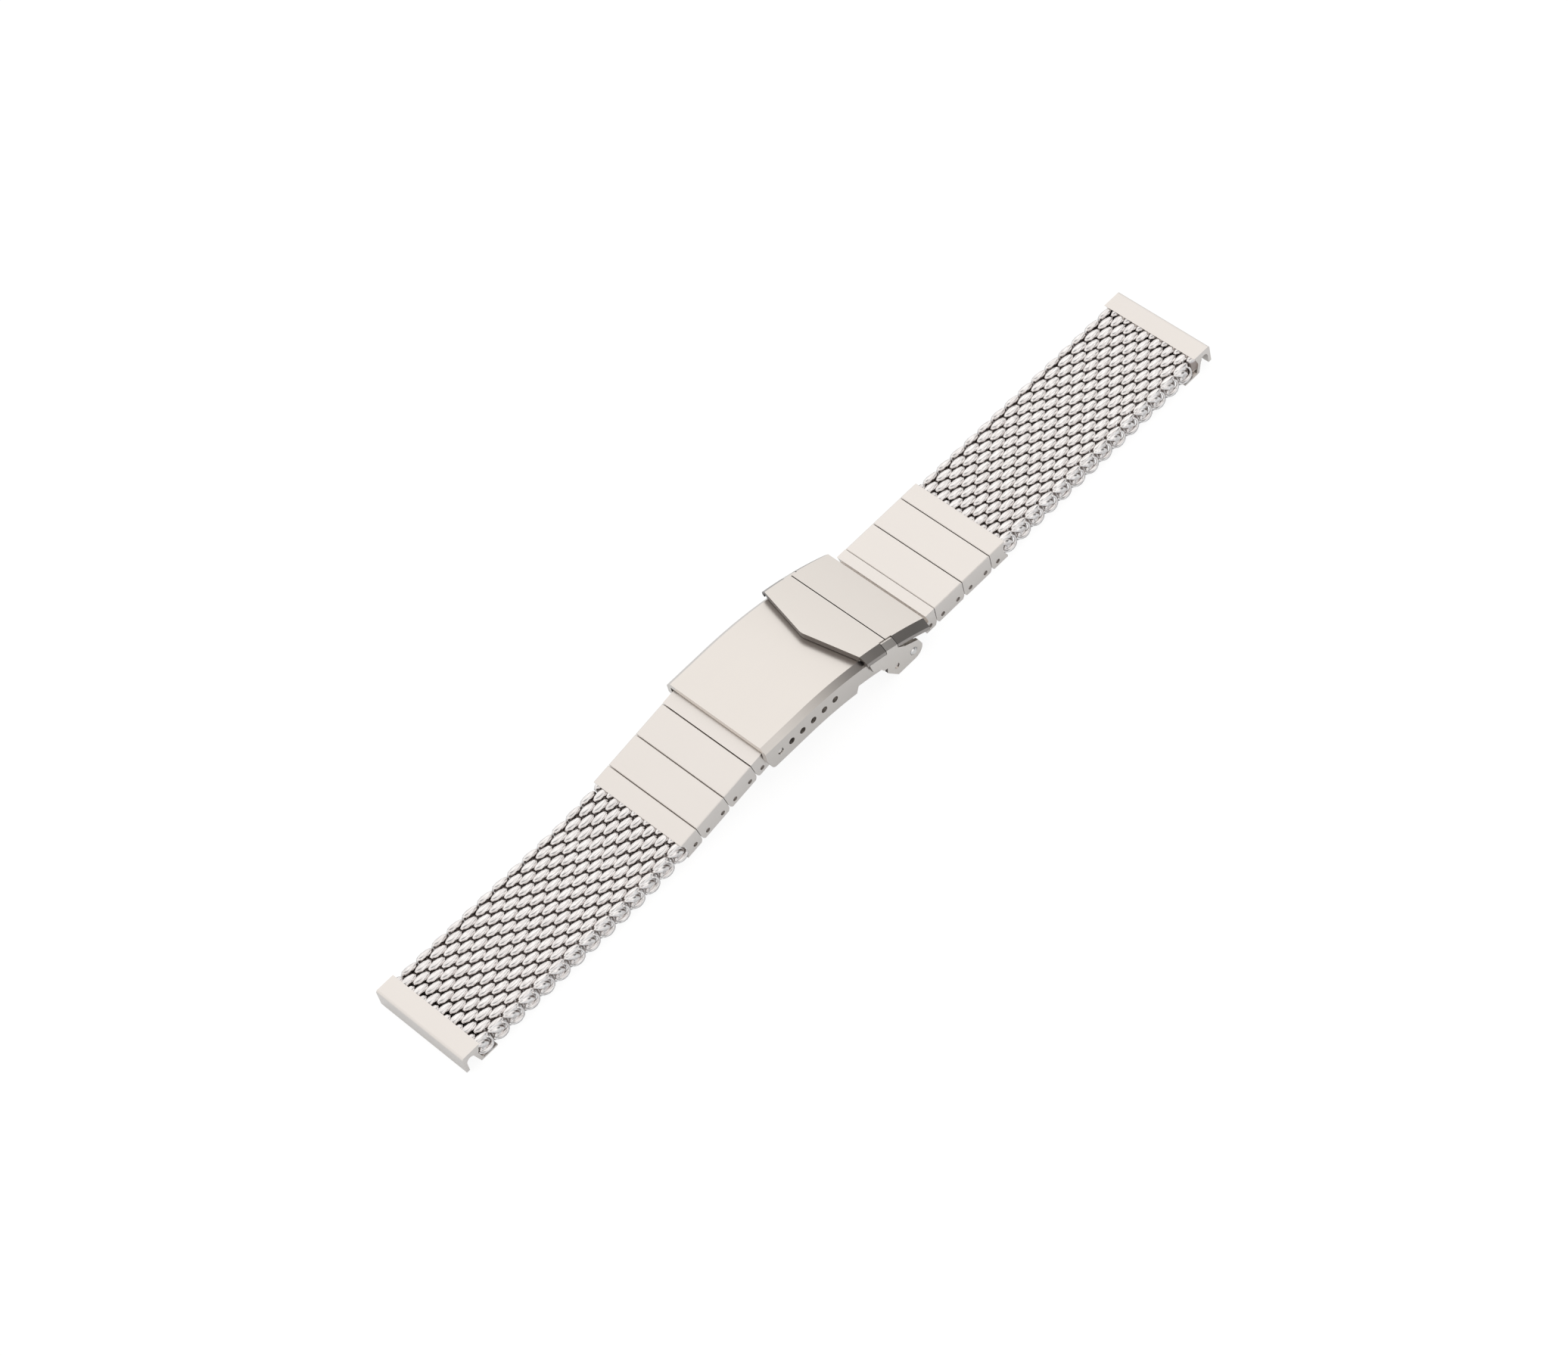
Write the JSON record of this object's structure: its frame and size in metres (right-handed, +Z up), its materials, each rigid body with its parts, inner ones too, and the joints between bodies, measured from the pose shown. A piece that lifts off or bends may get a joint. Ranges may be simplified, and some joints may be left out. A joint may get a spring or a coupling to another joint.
{
  "type": "milanese mesh band",
  "caption": "Heavy woven steel mesh watch band with hooked ends, solid links and a folding clasp with a flip lock.",
  "frame": {"origin": "on the table under the middle of the closed band, halfway along and across it", "axes": "+X along the band towards the lock and the right end piece, +Y across it, +Z up from the wrist side to the outer side"},
  "size_m": [0.1746, 0.0242, 0.0106],
  "materials": {
    "polished_steel": "polished woven wire",
    "satin_steel": "fine satin",
    "bright_steel": "turned and polished"
  },
  "bodies": {
    "bottom_blade": {"bottom_blade": "satin_steel", "blade_pin": "bright_steel", "band_pin": "bright_steel"},
    "middle_blade": {"middle_blade": "satin_steel"},
    "cover": {"cover": "satin_steel", "cover_pin": "bright_steel", "lock_pivots": "bright_steel"},
    "lock": {"lock_frame": "satin_steel", "lock_front_plate": "satin_steel", "lock_rear_plate": "satin_steel"},
    "left_clasp_link": {"left_clasp_link": "satin_steel", "spring_bar_tube": "bright_steel", "spring_bar_spring": "bright_steel"},
    "spring_bar_tip_near": {"spring_bar_tip_near": "bright_steel"},
    "spring_bar_tip_far": {"spring_bar_tip_far": "bright_steel"},
    "right_clasp_link": {"right_clasp_link": "satin_steel"},
    "left_connector_1": {"left_connector_1": "satin_steel", "left_connector_pins_1": "bright_steel"},
    "left_link_1": {"left_link_1": "satin_steel"},
    "left_connector_2": {"left_connector_2": "satin_steel", "left_connector_pins_2": "bright_steel"},
    "left_link_2": {"left_link_2": "satin_steel"},
    "left_connector_3": {"left_connector_3": "satin_steel", "left_connector_pins_3": "bright_steel"},
    "left_mesh_link": {"left_mesh_link": "satin_steel", "left_mesh_6": "polished_steel"},
    "left_mesh_5": {"left_mesh_5": "polished_steel"},
    "left_mesh_4": {"left_mesh_4": "polished_steel"},
    "left_mesh_3": {"left_mesh_3": "polished_steel"},
    "left_mesh_2": {"left_mesh_2": "polished_steel"},
    "left_end_piece": {"left_mesh_1": "polished_steel", "left_end_piece": "satin_steel"},
    "right_connector_1": {"right_connector_1": "satin_steel", "right_connector_pins_1": "bright_steel"},
    "right_link_1": {"right_link_1": "satin_steel"},
    "right_connector_2": {"right_connector_2": "satin_steel", "right_connector_pins_2": "bright_steel"},
    "right_link_2": {"right_link_2": "satin_steel"},
    "right_connector_3": {"right_connector_3": "satin_steel", "right_connector_pins_3": "bright_steel"},
    "right_mesh_link": {"right_mesh_link": "satin_steel", "right_mesh_6": "polished_steel"},
    "right_mesh_5": {"right_mesh_5": "polished_steel"},
    "right_mesh_4": {"right_mesh_4": "polished_steel"},
    "right_mesh_3": {"right_mesh_3": "polished_steel"},
    "right_mesh_2": {"right_mesh_2": "polished_steel"},
    "right_end_piece": {"right_mesh_1": "polished_steel", "right_end_piece": "satin_steel"}
  },
  "joints": [
    {"name": "blade_fold", "type": "hinge", "parent": "bottom_blade", "child": "middle_blade", "pos_m": [-0.01582, 0, 0.0015], "axis": [0, -1, 0], "range_deg": [0, 150]},
    {"name": "cover_fold", "type": "hinge", "parent": "middle_blade", "child": "cover", "pos_m": [0.00908, 0, 0.0042], "axis": [0, 1, 0], "range_deg": [0, 150]},
    {"name": "lock_lift", "type": "hinge", "parent": "cover", "child": "lock", "pos_m": [0.01248, 0, 0.0021], "axis": [0, 1, 0], "range_deg": [0, 20]},
    {"name": "left_bar_turn", "type": "hinge", "parent": "cover", "child": "left_clasp_link", "pos_m": [-0.01662, 0, 0.00685], "axis": [0, -1, 0], "range_deg": [-8, 25]},
    {"name": "spring_bar_tip_near_slide", "type": "slide", "parent": "left_clasp_link", "child": "spring_bar_tip_near", "axis": [0, 1, 0], "range_m": [0, 0.00075], "stiffness_N_per_m": 300},
    {"name": "spring_bar_tip_far_slide", "type": "slide", "parent": "left_clasp_link", "child": "spring_bar_tip_far", "axis": [0, -1, 0], "range_m": [0, 0.00075], "stiffness_N_per_m": 300},
    {"name": "right_tongue_turn", "type": "hinge", "parent": "bottom_blade", "child": "right_clasp_link", "pos_m": [0.01578, 0, 0.00115], "axis": [0, 1, 0], "range_deg": [0, 30]},
    {"name": "left_joint_1", "type": "hinge", "parent": "left_clasp_link", "child": "left_connector_1", "pos_m": [-0.02009, 0, 0.00522], "axis": [0, -1, 0], "range_deg": [0, 12]},
    {"name": "left_joint_1_outer", "type": "hinge", "parent": "left_connector_1", "child": "left_link_1", "pos_m": [-0.02304, 0, 0.0047], "axis": [0, -1, 0], "range_deg": [0, 12]},
    {"name": "left_joint_2", "type": "hinge", "parent": "left_link_1", "child": "left_connector_2", "pos_m": [-0.02659, 0, 0.00408], "axis": [0, -1, 0], "range_deg": [0, 12]},
    {"name": "left_joint_2_outer", "type": "hinge", "parent": "left_connector_2", "child": "left_link_2", "pos_m": [-0.02954, 0, 0.00356], "axis": [0, -1, 0], "range_deg": [0, 12]},
    {"name": "left_joint_3", "type": "hinge", "parent": "left_link_2", "child": "left_connector_3", "pos_m": [-0.03309, 0, 0.00293], "axis": [0, -1, 0], "range_deg": [0, 12]},
    {"name": "left_joint_3_outer", "type": "hinge", "parent": "left_connector_3", "child": "left_mesh_link", "pos_m": [-0.03604, 0, 0.00241], "axis": [0, -1, 0], "range_deg": [0, 12]},
    {"name": "left_mesh_flex_1", "type": "hinge", "parent": "left_mesh_link", "child": "left_mesh_5", "pos_m": [-0.04675, 0, 0.0022], "axis": [0, -1, 0], "range_deg": [-5, 10]},
    {"name": "left_mesh_flex_2", "type": "hinge", "parent": "left_mesh_5", "child": "left_mesh_4", "pos_m": [-0.0551, 0, 0.0022], "axis": [0, -1, 0], "range_deg": [-5, 10]},
    {"name": "left_mesh_flex_3", "type": "hinge", "parent": "left_mesh_4", "child": "left_mesh_3", "pos_m": [-0.06345, 0, 0.0022], "axis": [0, -1, 0], "range_deg": [-5, 10]},
    {"name": "left_mesh_flex_4", "type": "hinge", "parent": "left_mesh_3", "child": "left_mesh_2", "pos_m": [-0.0718, 0, 0.0022], "axis": [0, -1, 0], "range_deg": [-5, 10]},
    {"name": "left_mesh_flex_5", "type": "hinge", "parent": "left_mesh_2", "child": "left_end_piece", "pos_m": [-0.08015, 0, 0.0022], "axis": [0, -1, 0], "range_deg": [-5, 10]},
    {"name": "right_joint_1", "type": "hinge", "parent": "right_clasp_link", "child": "right_connector_1", "pos_m": [0.01828, 0, 0.00105], "axis": [0, 1, 0], "range_deg": [0, 12]},
    {"name": "right_joint_1_outer", "type": "hinge", "parent": "right_connector_1", "child": "right_link_1", "pos_m": [0.02128, 0, 0.00105], "axis": [0, 1, 0], "range_deg": [0, 12]},
    {"name": "right_joint_2", "type": "hinge", "parent": "right_link_1", "child": "right_connector_2", "pos_m": [0.02488, 0, 0.00105], "axis": [0, 1, 0], "range_deg": [0, 12]},
    {"name": "right_joint_2_outer", "type": "hinge", "parent": "right_connector_2", "child": "right_link_2", "pos_m": [0.02788, 0, 0.00105], "axis": [0, 1, 0], "range_deg": [0, 12]},
    {"name": "right_joint_3", "type": "hinge", "parent": "right_link_2", "child": "right_connector_3", "pos_m": [0.03148, 0, 0.00105], "axis": [0, 1, 0], "range_deg": [0, 12]},
    {"name": "right_joint_3_outer", "type": "hinge", "parent": "right_connector_3", "child": "right_mesh_link", "pos_m": [0.03448, 0, 0.00105], "axis": [0, 1, 0], "range_deg": [0, 12]},
    {"name": "right_mesh_flex_1", "type": "hinge", "parent": "right_mesh_link", "child": "right_mesh_5", "pos_m": [0.04508, 0, 0.0022], "axis": [0, 1, 0], "range_deg": [-5, 10]},
    {"name": "right_mesh_flex_2", "type": "hinge", "parent": "right_mesh_5", "child": "right_mesh_4", "pos_m": [0.05343, 0, 0.0022], "axis": [0, 1, 0], "range_deg": [-5, 10]},
    {"name": "right_mesh_flex_3", "type": "hinge", "parent": "right_mesh_4", "child": "right_mesh_3", "pos_m": [0.06178, 0, 0.0022], "axis": [0, 1, 0], "range_deg": [-5, 10]},
    {"name": "right_mesh_flex_4", "type": "hinge", "parent": "right_mesh_3", "child": "right_mesh_2", "pos_m": [0.07013, 0, 0.0022], "axis": [0, 1, 0], "range_deg": [-5, 10]},
    {"name": "right_mesh_flex_5", "type": "hinge", "parent": "right_mesh_2", "child": "right_end_piece", "pos_m": [0.07848, 0, 0.0022], "axis": [0, 1, 0], "range_deg": [-5, 10]}
  ],
  "couplings": [
    {"joint": "cover_fold", "follows": "blade_fold", "ratio": 1},
    {"joint": "left_joint_1_outer", "follows": "left_joint_1", "ratio": 1},
    {"joint": "left_joint_2_outer", "follows": "left_joint_2", "ratio": 1},
    {"joint": "left_joint_3_outer", "follows": "left_joint_3", "ratio": 1},
    {"joint": "left_mesh_flex_2", "follows": "left_mesh_flex_1", "ratio": 1},
    {"joint": "left_mesh_flex_3", "follows": "left_mesh_flex_1", "ratio": 1},
    {"joint": "left_mesh_flex_4", "follows": "left_mesh_flex_1", "ratio": 1},
    {"joint": "left_mesh_flex_5", "follows": "left_mesh_flex_1", "ratio": 1},
    {"joint": "right_joint_1_outer", "follows": "right_joint_1", "ratio": 1},
    {"joint": "right_joint_2_outer", "follows": "right_joint_2", "ratio": 1},
    {"joint": "right_joint_3_outer", "follows": "right_joint_3", "ratio": 1},
    {"joint": "right_mesh_flex_2", "follows": "right_mesh_flex_1", "ratio": 1},
    {"joint": "right_mesh_flex_3", "follows": "right_mesh_flex_1", "ratio": 1},
    {"joint": "right_mesh_flex_4", "follows": "right_mesh_flex_1", "ratio": 1},
    {"joint": "right_mesh_flex_5", "follows": "right_mesh_flex_1", "ratio": 1}
  ]
}
